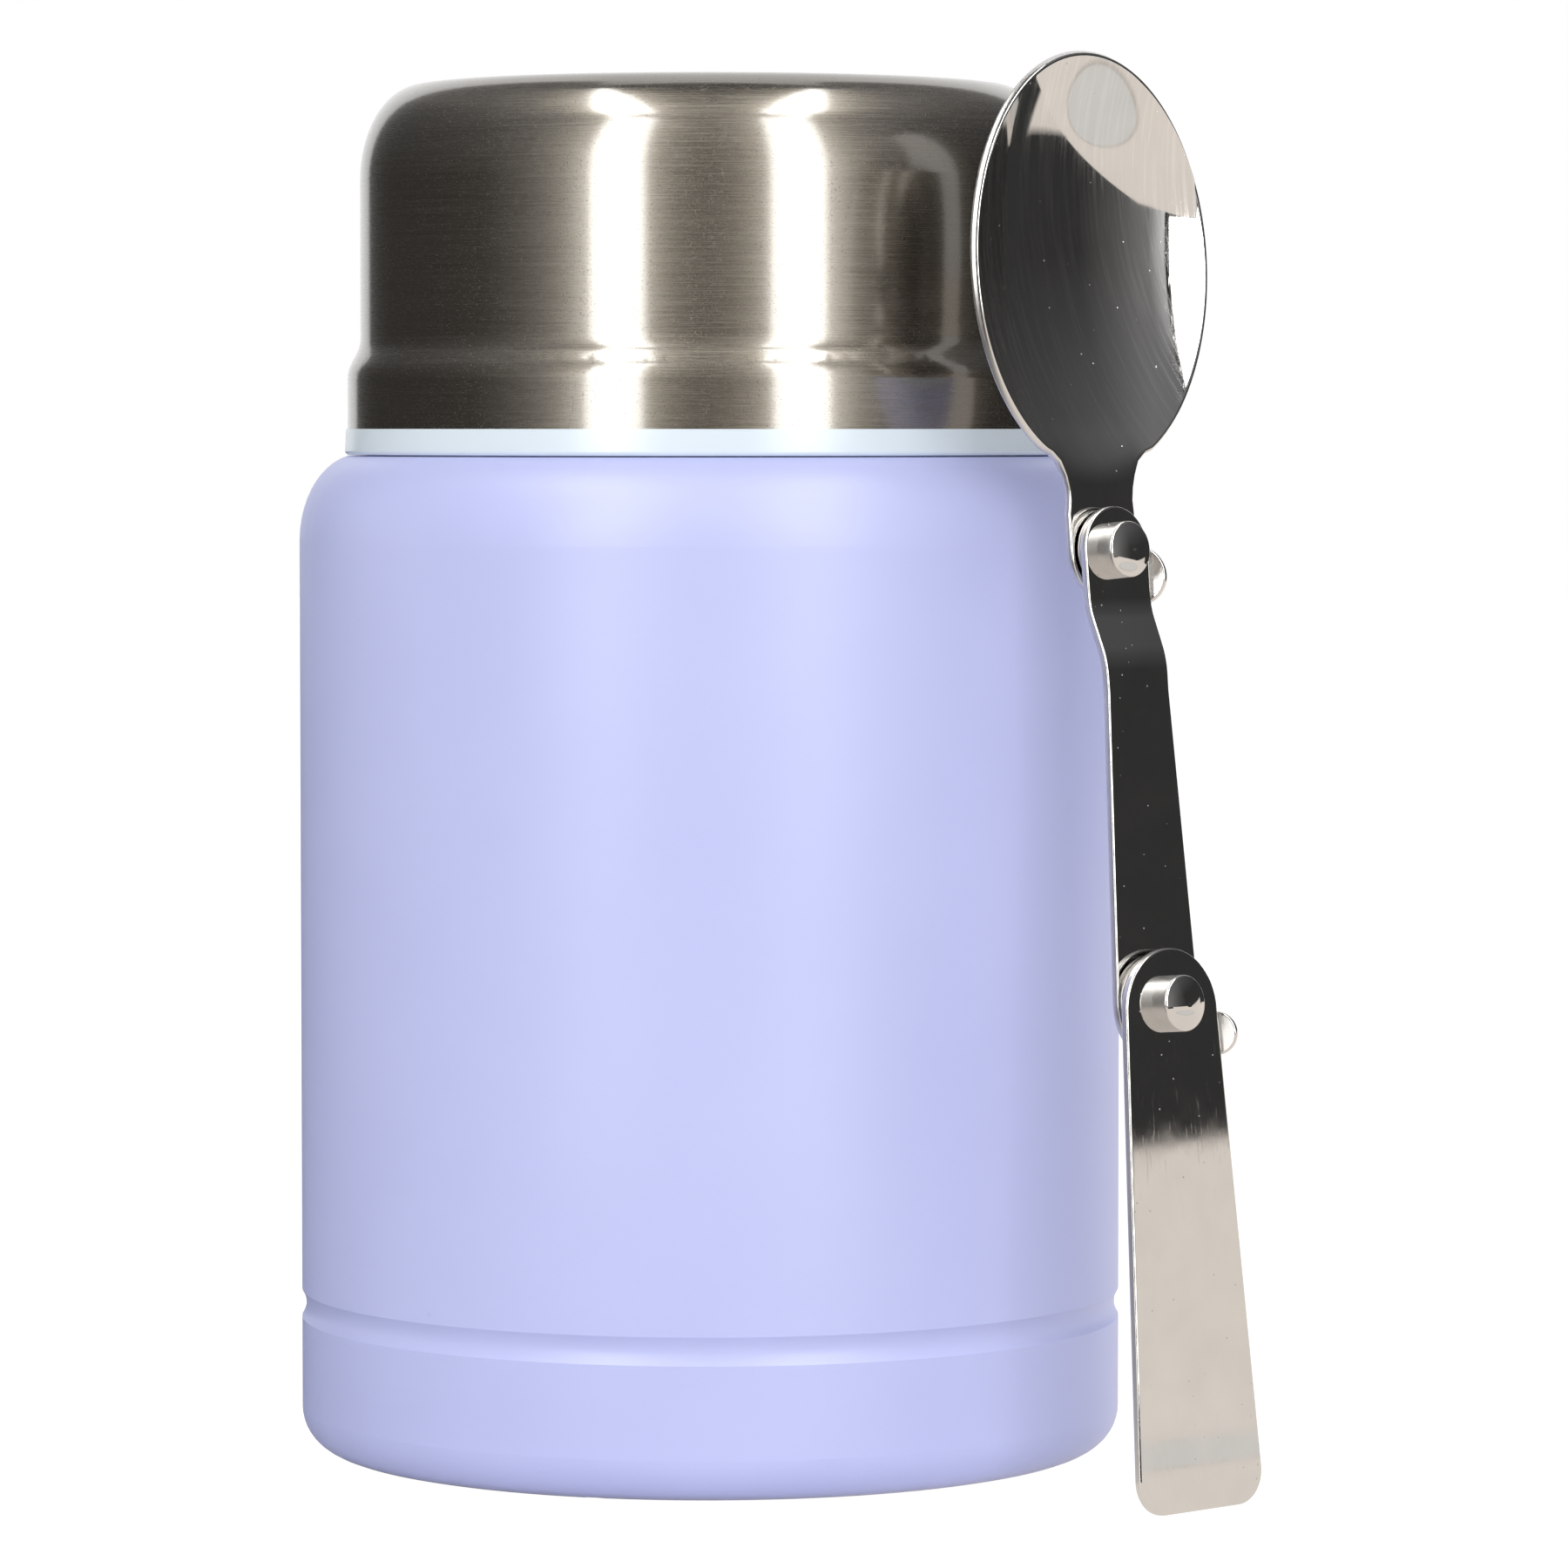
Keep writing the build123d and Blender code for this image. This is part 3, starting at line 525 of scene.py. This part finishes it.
def dish_cap():
    """The bowl's inside as an ellipsoid's cap, cut off at the lip and left in edit mode."""
    bpy.ops.object.select_all(action="DESELECT")
    bpy.ops.mesh.primitive_uv_sphere_add(segments=DISH_SEGMENTS, ring_count=DISH_RINGS, radius=1.0)
    dish = bpy.context.object
    dish.name = "spoon_dish"
    edit(dish)
    bpy.ops.mesh.select_all(action="SELECT")
    bpy.ops.transform.resize(value=(DISH_RADIUS * DISH_WIDEN, DISH_HALF_LENGTH, DISH_RADIUS))
    tilt = math.radians(DISH_TILT)
    bpy.ops.transform.rotate(value=-tilt, orient_axis="X", center_override=(0, 0, 0))
    along = DISH_CENTRE[0] - math.sin(tilt) * DISH_RISE
    out = DISH_CENTRE[1] + math.cos(tilt) * DISH_RISE
    bpy.ops.transform.translate(value=(0, along, out))
    lip = math.radians(LIP_TILT)
    bpy.ops.mesh.bisect(
        plane_co=(0, *LIP_MIDDLE),
        plane_no=(0, -math.sin(lip), math.cos(lip)),
        clear_outer=True,
    )
    bpy.ops.mesh.select_all(action="SELECT")
    bpy.ops.mesh.remove_doubles(threshold=DISH_WELD)
    bpy.ops.mesh.normals_make_consistent(inside=True)
    return dish


def neck_rows():
    """Each row of the neck: how far up the spoon, how high its face, how wide and how bowed."""
    rows = [
        (113.7, 0.98, 6.05, 0.62),
        (112.6, 0.88, 5.55, 0.35),
        (111.4, 0.79, 5.25, 0.15),
        (110.0, 0.73, 5.13, 0.0),
        (108.4, NECK_FRONT, NECK_HALF_WIDTH, 0.0),
    ]
    # The half round about the pivot
    for step in range(NECK_END_STEPS + 1):
        turn = math.radians(step * NECK_END_DEGREES)
        up = PIVOT_HIGH - NECK_HALF_WIDTH * math.sin(turn)
        rows.append((up, NECK_FRONT, NECK_HALF_WIDTH * math.cos(turn), 0.0))
    return rows


def draw_out_neck(dish):
    """Draw the neck out of the lip's lower end, row by row."""

    def on_lip(point):
        height = LIP_MIDDLE[1] + math.tan(math.radians(LIP_TILT)) * (point.y - LIP_MIDDLE[0])
        in_neck = abs(point.x) < NECK_TAKE and point.y < NECK_TAKE_TOP
        return abs(point.z - height) < DISH_WELD and in_neck

    choose(dish, on_lip, "edges")
    for y, z, half_width, bow in neck_rows():
        bpy.ops.mesh.extrude_edges_move(TRANSFORM_OT_translate={"value": (0, 0, 0)})
        bpy.ops.object.mode_set(mode="OBJECT")
        chosen = [p.co for p in dish.data.vertices if p.select]
        wide = max(p.x for p in chosen)
        low = min(p.y for p in chosen)
        level = sum(p.z for p in chosen) / len(chosen)
        bpy.ops.object.mode_set(mode="EDIT")
        flat = max(bow, LEAST_BOW)
        bpy.ops.transform.resize(
            value=(half_width / wide, flat, flat), center_override=(0, low, level)
        )
        bpy.ops.transform.translate(value=(0, y - low, z - level))


def blend_neck(dish):
    """Smooth dish and neck into each other, and leave their outline where it is."""

    def near_neck(point):
        return BLEND_LOW < point.y < BLEND_HIGH and abs(point.x) < BLEND_HALF_WIDTH

    choose(dish, near_neck)
    bpy.ops.object.mode_set(mode="OBJECT")
    rim = border(dish)
    for point in dish.data.vertices:
        point.select = point.select and point.index not in rim
    bpy.ops.object.mode_set(mode="EDIT")
    bpy.ops.mesh.vertices_smooth(factor=BLEND_FACTOR, repeat=BLEND_ROUNDS)


def face_forward(dish):
    """Turn all faces to the spoon's front, so that the thickness goes to its back."""
    bpy.ops.mesh.select_all(action="SELECT")
    bpy.ops.mesh.normals_make_consistent(inside=False)
    bpy.ops.object.mode_set(mode="OBJECT")
    centre = Vector((0, DISH_CENTRE[0]))
    middle = min(dish.data.polygons, key=lambda face: (face.center.xy - centre).length)
    if middle.normal.z < 0:
        edit(dish)
        bpy.ops.mesh.select_all(action="SELECT")
        bpy.ops.mesh.flip_normals()
        bpy.ops.object.mode_set(mode="OBJECT")


def spoon_dish():
    """The bowl and its neck in one sheet, with rounded edges."""
    dish = dish_cap()
    draw_out_neck(dish)
    blend_neck(dish)
    face_forward(dish)
    finish_modifier(dish, "SOLIDIFY", thickness=PLATE, offset=-1, use_even_offset=True)
    round_edges(dish, DISH_ROUND, DISH_SHARP)
    return dish


def upper_tab():
    """The tab bent forward from the neck's edge: a leaning strip that ends in a half round."""
    bpy.ops.object.select_all(action="DESELECT")
    bpy.ops.mesh.primitive_circle_add(
        vertices=TAB_SEGMENTS, radius=TAB_HALF_WIDTH, fill_type="NGON"
    )
    tab = bpy.context.object
    tab.name = "upper_tab"
    edit(tab)
    bpy.ops.mesh.select_all(action="SELECT")
    bpy.ops.mesh.bisect(plane_co=(0, 0, 0), plane_no=(0, -1, 0), clear_outer=True)
    choose(tab, lambda p: p.y < TAB_WELD, "edges")
    bpy.ops.mesh.extrude_edges_move(TRANSFORM_OT_translate={"value": (0, -TAB_REACH, 0)})
    bpy.ops.mesh.select_all(action="SELECT")
    bpy.ops.mesh.remove_doubles(threshold=TAB_WELD)
    bpy.ops.mesh.dissolve_limited(angle_limit=TAB_FLATNESS)
    bpy.ops.mesh.select_all(action="SELECT")
    bpy.ops.mesh.extrude_region_move(TRANSFORM_OT_translate={"value": (0, 0, PLATE)})
    bpy.ops.mesh.select_all(action="SELECT")
    bpy.ops.mesh.normals_make_consistent(inside=False)
    bpy.ops.object.mode_set(mode="OBJECT")
    # The flat outline stands up: its width runs up the spoon, its height leans out of the face
    lean, rise = math.cos(TAB_BEND), math.sin(TAB_BEND)
    standing = Matrix(
        (
            (0, lean, rise, TAB_SIDE + lean * TAB_REACH),
            (1, 0, 0, TAB_MIDDLE),
            (0, rise, -lean, NECK_BACK + rise * TAB_REACH),
            (0, 0, 0, 1),
        )
    )
    move_mesh(tab, standing)
    edit(tab)
    bpy.ops.mesh.select_all(action="SELECT")
    bpy.ops.mesh.bisect(
        plane_co=(0, 0, NECK_BACK), plane_no=(0, 0, -1), clear_outer=True, use_fill=True
    )
    bpy.ops.object.mode_set(mode="OBJECT")
    round_edges(tab, TAB_ROUND, TAB_SHARP)
    finish_modifier(tab, "WEIGHTED_NORMAL", keep_sharp=True)
    return tab


worn_by = {
    "outer_shell": lavender,
    "inner_vessel": vessel_steel,
    "outer_base": base_steel,
    "base_cap": base_steel,
    "vacuum_seal": solder_metal,
    "getter_clip": base_steel,
    "getter_pellet": getter_metal,
    "lid_shell": lid_steel,
    "lid_liner": collar,
    "lid_foam": foam,
    "lid_seal": silicone,
    "stopper_body": stopper_plastic,
    "stopper_cover": stopper_plastic,
    "stopper_foam": foam,
    "stopper_gasket": silicone,
    "vent_button": button_plastic,
    "vent_seal": silicone,
    "vent_spring": spring_steel,
    "spoon_handle": mirror_steel,
    "spoon_link": mirror_steel,
    "spoon_bowl": mirror_steel,
    "pivot_rivet_lower": mirror_steel,
    "pivot_rivet_upper": mirror_steel,
    "spacer_washer_lower": mirror_steel,
    "spacer_washer_upper": mirror_steel,
}
for name, material in worn_by.items():
    nodes[name].material_slots[0].material = material

for make in (spoon_dish, upper_tab):
    piece = make()
    move_mesh(piece, ON_SPOON)
    dress(piece, "bowl", "spoon_bowl", slot="polished_steel", material=mirror_steel)
for name, body in (
    ("spoon_link", "link"),
    ("spacer_washer_lower", "handle"),
    ("spacer_washer_upper", "link"),
):
    rounded_plate(name, body)

# A joined-up copy of the coil with a mesh of its own; the real coil gets shorter as the button
# comes down on it
coil = merged_copy("vent_spring", "_coil")
bpy.ops.object.mode_set(mode="OBJECT")
shade_smooth(SMOOTH_COIL)
dress(coil, "stopper", "vent_spring", slot="steel", material=spring_steel)
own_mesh(coil)

# The collar's skirt comes down to a hair above the body's ledge
SKIRT_TOP, SKIRT_INSIDE, SKIRT_DROP = 116.05, 41.0, 0.2
liner = merged_copy("lid_liner", "_skirted")
choose(liner, lambda p: p.z < SKIRT_TOP * MM and p.xy.length > SKIRT_INSIDE * MM)
bpy.ops.transform.translate(value=(0, 0, -SKIRT_DROP * MM))
bpy.ops.object.mode_set(mode="OBJECT")
shade_smooth(SMOOTH_LINER)
dress(liner, "lid", "lid_liner", slot="liner_plastic", material=collar)

# ---------------------------------------------------------------- stage

WHITE = (1, 1, 1, 1)

FLOOR_RADIUS, FLOOR_SEGMENTS = 4.0, 96
# What the camera sees of the floor: paper that takes shadows, and this share of a bright glow
FLOOR_PAPER = (0.8, 0.8, 0.8, 1.0)
FLOOR_GLOW, FLOOR_GLOW_SHARE = 1.25, 0.8
# What gloss sees of the floor: dark at the left and warm paper at the right, between these two
FLOOR_DARK_END, FLOOR_WARM_START = -0.06, 0.02
# The round patch on that paper, with a darker rim that fades out
PATCH_PLACE, PATCH_RADIUS = (0.42, -0.12), 0.13
PATCH_INSIDE, PATCH_OUTSIDE = PATCH_RADIUS * 0.97, PATCH_RADIUS * 1.09

# Two narrow strips for the gloss
STRIP_ANGLE, STRIP_DISTANCE, STRIP_WIDTH = 29, 1.0, 0.32
STRIP_LOW, STRIP_HIGH, STRIP_POWER = 0.07, 1.1, 6.6
# Softboxes for the colour: name, angle, distance, width, foot, top and power. The light from far
# right reaches behind the spoon, where its shadow would fall on the jar
COLOUR_LAMPS = (
    ("broad_front", 0, 1.5, 2.2, 0.1, 2.0, 24.5),
    ("behind_spoon", 105, 1.2, 1.0, 0.05, 1.2, 5),
    ("far_left", -105, 1.2, 1.0, 0.05, 1.2, 2.4),
    ("behind_jar", 180, 1.5, 1.6, 0.1, 1.6, 7),
    ("overhead", 0, 0.5, 1.2, 1.0, 1.6, 4.6),
)
OVERHEAD_TILT = math.radians(25)
LAMP_COLOUR = (1.0, 0.99, 0.97)

# The side screens' feet from back to front, where their tone changes on the way, and the heights
# between which it evens out
SCREEN_FEET = ((0.28, 0.415), (0.35, 0.10), (0.68, -0.57), (0.66, -0.79))
SCREEN_BOTTOM, SCREEN_TOP = 0.05, 1.2
SCREEN_END, SCREEN_GREY_FROM, SCREEN_GREY_TO = -0.79, -0.64, -0.12
SCREEN_EVEN_FROM, SCREEN_EVEN_TO = 0.16, 0.6
# The warm paper on the right screen: its slope, its top and its back end, with soft edges
PAPER_SLOPE, PAPER_TOP, PAPER_END = 0.25, 0.05, 0.105
PAPER_TOP_EDGE, PAPER_END_EDGE = 0.008, 0.014
# The dark room behind the camera, and how its walls get paler with height
ROOM_FEET = ((-1.0, -0.8), (-1.0, -1.6), (1.0, -1.6), (1.0, -0.8))
ROOM_TOP = 2.4
ROOM_DARK_TO, ROOM_PALE_FROM = 0.5, 2.2
# Low bands of paper along both sides
BAND_SIDE, BAND_BACK, BAND_FRONT, BAND_TOP = 1.3, 1.0, -0.9, 0.4
# Level cards above: a dark ceiling and a bright card on either side
CEILING_PLACE, CEILING_SIZE = (0, -0.9, 2.4), (2.6, 2.6)
CARD_SIDE, CARD_FORWARD, CARD_HEIGHT, CARD_SIZE = 0.52, -0.4, 1.15, (0.38, 0.9)
CARD_GLOW = (8.0, 7.9, 7.7, 1.0)
# A screen grows out of one point, which a circle of this size is merged to
SEED_RADIUS = 0.001

# The light that the white surroundings give to everything but the camera and the gloss
ROOM_FILL = 0.34

# Camera: level with the lid and pitched slightly down
CAMERA_PLACE = (8.57, -800, 118.6)
CAMERA_PITCH = 2.97
CAMERA_LENS, CAMERA_SENSOR = 158.3, 36.0


def emitter(name, colour_of):
    """A stage finish that glows by itself; colour_of makes its colour from the finish."""
    made = Finish(name)
    made.output(made.node("Emission", {}, {"Color": colour_of(made), "Strength": 1.0}))
    return made.owner


def only_in_reflections(card):
    """Keep a card out of everything but gloss."""
    card.visible_camera = False
    card.visible_diffuse = False
    card.visible_shadow = False
    card.visible_transmission = False


def standing_screen(name, feet, bottom, top, colour_of):
    """A screen folded out of flat panels, standing along its feet; it shows only in gloss."""
    bpy.ops.object.select_all(action="DESELECT")
    bpy.ops.mesh.primitive_circle_add(
        vertices=4, radius=SEED_RADIUS, location=(*feet[0], bottom)
    )
    screen = bpy.context.object
    screen.name = name
    bpy.ops.object.mode_set(mode="EDIT")
    bpy.ops.mesh.merge(type="CENTER")
    for start, end in zip(feet, feet[1:]):
        step = (end[0] - start[0], end[1] - start[1], 0)
        bpy.ops.mesh.extrude_vertices_move(TRANSFORM_OT_translate={"value": step})
    bpy.ops.mesh.select_all(action="SELECT")
    bpy.ops.mesh.extrude_edges_move(TRANSFORM_OT_translate={"value": (0, 0, top - bottom)})
    bpy.ops.object.mode_set(mode="OBJECT")
    bpy.ops.object.transform_apply(location=True)
    screen.data.materials.append(emitter(name, colour_of))
    only_in_reflections(screen)


def overhead_card(name, place, size, colour):
    """A level card above the jar; it shows only in gloss."""
    bpy.ops.object.select_all(action="DESELECT")
    bpy.ops.mesh.primitive_plane_add(size=1, location=place)
    card = bpy.context.object
    card.name = name
    card.scale = (*size, 1)
    bpy.ops.object.transform_apply()
    card.data.materials.append(emitter(name, lambda made: colour))
    only_in_reflections(card)


def soft_lamp(name, angle, distance, width, low, high, power):
    """An upright softbox aimed level at the jar's axis; angles count from the camera's side."""
    data = bpy.data.lights.new(name, "AREA")
    data.shape = "RECTANGLE"
    data.size = width
    data.size_y = high - low
    data.energy = power
    data.color = LAMP_COLOUR
    lamp = bpy.data.objects.new(name, data)
    bpy.context.scene.collection.objects.link(lamp)
    turn = math.radians(angle)
    lamp.location = (math.sin(turn) * distance, -math.cos(turn) * distance, (low + high) / 2)
    lamp.rotation_euler = (math.pi / 2, 0, turn)
    lamp.visible_camera = False
    return lamp


def side_screen_colour(made):
    """Nearly black at the back, grey towards the front, white at its end; one grey higher up."""
    where = made.part(made.here(), "Y")
    height = made.part(made.here(), "Z")
    lit = made.ramp(where, SCREEN_GREY_FROM, SCREEN_GREY_TO, 1.0, 0.0)
    glow = made.ramp(where, SCREEN_END, SCREEN_GREY_FROM, 1.0, 0.0)
    panel = made.mix(lit, rgb(57, 57, 57), rgb(134, 133, 132))
    panel = made.mix(glow, panel, rgb(236, 236, 236))
    even = made.ramp(height, SCREEN_EVEN_FROM, SCREEN_EVEN_TO)
    return made.mix(even, panel, rgb(126, 126, 128))


def right_screen_colour(made):
    """The right screen has warm paper along part of its foot, rising towards the back."""
    where = made.part(made.here(), "Y")
    level = made.part(made.here(), "Z") - where * PAPER_SLOPE
    below = made.ramp(level, PAPER_TOP, PAPER_TOP + PAPER_TOP_EDGE, 1.0, 0.0)
    before = made.ramp(where, PAPER_END, PAPER_END + PAPER_END_EDGE, 1.0, 0.0)
    return made.mix(below * before, side_screen_colour(made), rgb(246, 238, 229))


def dark_room_colour(made):
    """Dark walls that get paler with height."""
    rise = made.ramp(made.part(made.here(), "Z"), ROOM_DARK_TO, ROOM_PALE_FROM)
    return made.mix(rise, rgb(54, 52, 50), rgb(92, 91, 90))


def floor_in_gloss(made):
    """Dark at the left, and warm paper with a round grey patch at the right screen's foot."""
    where = made.here()
    reach = made.measure("DISTANCE", where, (*PATCH_PLACE, 0.0))
    inside = made.ramp(reach, PATCH_INSIDE, PATCH_RADIUS, 1.0, 0.0)
    outside = made.ramp(reach, PATCH_RADIUS, PATCH_OUTSIDE)
    paper = made.mix(outside, rgb(214, 207, 199), rgb(252, 243, 234))
    paper = made.mix(inside, paper, rgb(238, 236, 232))
    warm = made.ramp(made.part(where, "X"), FLOOR_DARK_END, FLOOR_WARM_START)
    return made.mix(warm, rgb(70, 69, 68), paper)


def floor_finish():
    """White to the camera with soft shadows, paper to the light, and its own colours to gloss."""
    made = Finish("floor")
    seen = made.node("LightPath", out="Is Camera Ray")
    mirrored = made.node("LightPath", out="Is Glossy Ray")
    paper = made.node("BsdfDiffuse", {}, {"Color": FLOOR_PAPER})
    bright = made.node("Emission", {}, {"Color": WHITE, "Strength": FLOOR_GLOW})
    in_gloss = made.node("Emission", {}, {"Color": floor_in_gloss(made), "Strength": 1.0})
    lit = made.node("MixShader", {}, {0: seen * FLOOR_GLOW_SHARE, 1: paper, 2: bright})
    made.output(made.node("MixShader", {}, {0: mirrored, 1: lit, 2: in_gloss}))
    return made.owner


def white_room():
    """White to the camera, in gloss and through clear pieces, and a dim fill for the rest."""
    made = Finish("room", world=True)
    seen = made.node("LightPath", out="Is Camera Ray")
    mirrored = made.node("LightPath", out="Is Glossy Ray")
    through = made.node("LightPath", out="Is Transmission Ray")
    fill = made.node("Background", {}, {"Color": WHITE, "Strength": ROOM_FILL})
    white = made.node("Background", {}, {"Color": WHITE, "Strength": 1.0})
    shown = made.ramp(seen + mirrored + through, 0.0, 1.0)
    made.output(made.node("MixShader", {}, {0: shown, 1: fill, 2: white}))
    return made.owner


bpy.ops.object.select_all(action="DESELECT")
bpy.ops.mesh.primitive_circle_add(
    vertices=FLOOR_SEGMENTS, radius=FLOOR_RADIUS, fill_type="NGON"
)
floor = bpy.context.object
floor.name = "floor"
floor.data.materials.append(floor_finish())

for side, name in ((-1, "left_strip"), (1, "right_strip")):
    strip = soft_lamp(
        name, side * STRIP_ANGLE, STRIP_DISTANCE, STRIP_WIDTH, STRIP_LOW, STRIP_HIGH, STRIP_POWER
    )
    strip.visible_diffuse = False
for row in COLOUR_LAMPS:
    lamp = soft_lamp(*row)
    lamp.visible_glossy = False
bpy.data.objects["overhead"].rotation_euler = (OVERHEAD_TILT, 0, 0)

left_feet = [(-x, y) for x, y in SCREEN_FEET]
standing_screen("right_screen", SCREEN_FEET, SCREEN_BOTTOM, SCREEN_TOP, right_screen_colour)
standing_screen("left_screen", left_feet, SCREEN_BOTTOM, SCREEN_TOP, side_screen_colour)
standing_screen("dark_room", ROOM_FEET, 0.0, ROOM_TOP, dark_room_colour)
for side, name in ((-1, "left_paper"), (1, "right_paper")):
    band = [(side * BAND_SIDE, BAND_BACK), (side * BAND_SIDE, BAND_FRONT)]
    standing_screen(name, band, 0.0, BAND_TOP, lambda made: rgb(250, 241, 232))

overhead_card("ceiling", CEILING_PLACE, CEILING_SIZE, rgb(84, 84, 86))
for side, name in ((-1, "left_overhead"), (1, "right_overhead")):
    overhead_card(name, (side * CARD_SIDE, CARD_FORWARD, CARD_HEIGHT), CARD_SIZE, CARD_GLOW)

bpy.context.scene.world = white_room()
bpy.context.scene.view_settings.view_transform = "Standard"

camera_data = bpy.data.cameras.new("camera")
camera_data.sensor_width = CAMERA_SENSOR
camera_data.lens = CAMERA_LENS
camera = bpy.data.objects.new("camera", camera_data)
bpy.context.scene.collection.objects.link(camera)
camera.location = [distance * MM for distance in CAMERA_PLACE]
camera.rotation_euler = (math.radians(90 - CAMERA_PITCH), 0, 0)
bpy.context.scene.camera = camera
